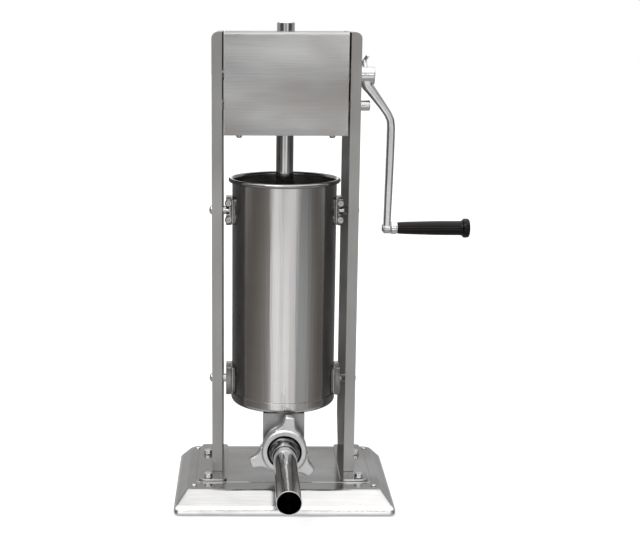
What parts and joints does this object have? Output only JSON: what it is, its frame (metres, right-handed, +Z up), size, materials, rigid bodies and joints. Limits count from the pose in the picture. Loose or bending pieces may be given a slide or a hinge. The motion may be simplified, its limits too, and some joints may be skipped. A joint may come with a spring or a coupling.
{
  "type": "vertical sausage stuffer",
  "caption": "Hand-cranked vertical sausage stuffer: steel cylinder between two columns, geared rack and piston, side crank, base plate and front stuffing tube.",
  "frame": {"origin": "middle of the overall footprint (X and Y) at the undersides of the rubber feet", "axes": "+Z up; the stuffing tube points along -Y and the crank is on the +X side"},
  "size_m": [0.4072, 0.3714, 0.6482],
  "materials": {
    "brushed_stainless": "satin brushed sheet with soft cloudy variation",
    "satin_stainless": "spun satin stainless, fine vertical grain",
    "polished_steel": "polished ground bar and plate",
    "chrome": "bright chrome plate",
    "zinc_plated": "bright zinc-plated fasteners",
    "cast_aluminium": "polished casting",
    "gear_steel": "oiled machined steel",
    "bronze": "sintered bronze",
    "black_rubber": "matte moulded rubber",
    "white_silicone": "food-grade silicone",
    "black_plastic": "glossy dark phenolic grip"
  },
  "bodies": {
    "frame": {"base_pan": "brushed_stainless", "left_column": "brushed_stainless", "right_column": "brushed_stainless", "gearbox_cover": "brushed_stainless", "gearbox_back": "brushed_stainless", "gearbox_floor": "brushed_stainless", "outlet_duct": "brushed_stainless", "outlet_pipe": "brushed_stainless", "left_foot_plate": "polished_steel", "right_foot_plate": "polished_steel", "left_bearing_plate": "zinc_plated", "right_bearing_plate": "zinc_plated", "cover_screw_left": "zinc_plated", "cover_screw_right": "zinc_plated", "base_bolt_front_left": "zinc_plated", "base_bolt_front_right": "zinc_plated", "base_bolt_rear_left": "zinc_plated", "base_bolt_rear_right": "zinc_plated", "rack_top_bush": "bronze", "rack_floor_bush": "bronze", "upper_left_bush": "bronze", "upper_right_bush": "bronze", "lower_left_bush": "bronze", "lower_right_bush": "bronze", "cylinder_wall": "satin_stainless", "cylinder_cup": "satin_stainless", "upper_left_bracket": "satin_stainless", "upper_right_bracket": "satin_stainless", "lower_left_bracket": "satin_stainless", "lower_right_bracket": "satin_stainless", "upper_left_pin": "chrome", "upper_right_pin": "chrome", "lower_left_pin": "chrome", "lower_right_pin": "chrome", "rubber_foot_front_left": "black_rubber", "rubber_foot_front_right": "black_rubber", "rubber_foot_rear_left": "black_rubber", "rubber_foot_rear_right": "black_rubber"},
    "rack": {"rack": "polished_steel", "piston_plate": "satin_stainless", "piston_seal": "white_silicone", "piston_nut": "satin_stainless"},
    "air_valve": {"air_valve": "polished_steel"},
    "gear_shaft": {"gear_shaft": "polished_steel", "large_gear": "gear_steel", "rack_pinion": "gear_steel", "large_gear_key": "polished_steel", "rack_pinion_key": "polished_steel"},
    "crank": {"crank_shaft": "polished_steel", "crank_arm": "chrome", "grip_spindle": "polished_steel"},
    "crank_screw": {"crank_screw": "chrome"},
    "grip": {"crank_grip": "black_plastic", "grip_ferrule": "chrome"},
    "nozzle": {"stuffing_tube": "chrome", "tube_gasket": "white_silicone"},
    "wing_nut": {"wing_nut": "cast_aluminium"}
  },
  "joints": [
    {"name": "crank_turn", "type": "hinge", "parent": "frame", "child": "crank", "pos_m": [0.055, 0.11295, 0.5771], "axis": [1, 0, 0], "range_deg": [0, 3350]},
    {"name": "gear_shaft_turn", "type": "hinge", "parent": "frame", "child": "gear_shaft", "pos_m": [-0.055, 0.11295, 0.5366], "axis": [1, 0, 0], "range_deg": [-1290, 0]},
    {"name": "rack_slide", "type": "slide", "parent": "frame", "child": "rack", "axis": [0, 0, 1], "range_m": [0, 0.315]},
    {"name": "air_valve_lift", "type": "slide", "parent": "rack", "child": "air_valve", "axis": [0, 0, 1], "range_m": [0, 0.0035]},
    {"name": "crank_screw_turn", "type": "hinge", "parent": "crank", "child": "crank_screw", "pos_m": [0.055, 0.11295, 0.5771], "axis": [0, 0.7071, 0.7071], "range_deg": [0, 720]},
    {"name": "grip_spin", "type": "hinge", "parent": "crank", "child": "grip", "pos_m": [0.094, 0.11295, 0.3671], "axis": [1, 0, 0], "continuous": true},
    {"name": "nozzle_slide", "type": "slide", "parent": "frame", "child": "nozzle", "axis": [0, -1, 0], "range_m": [0, 0.0071]},
    {"name": "wing_nut_turn", "type": "hinge", "parent": "nozzle", "child": "wing_nut", "pos_m": [-0.055, -0.00625, 0.08], "axis": [0, -1, 0], "range_deg": [0, 720]}
  ],
  "couplings": [
    {"joint": "gear_shaft_turn", "follows": "crank_turn", "ratio": -0.38462},
    {"joint": "rack_slide", "follows": "crank_turn", "m_per_rad": 0.0053846},
    {"joint": "nozzle_slide", "follows": "wing_nut_turn", "m_per_rad": 0.00055704}
  ]
}
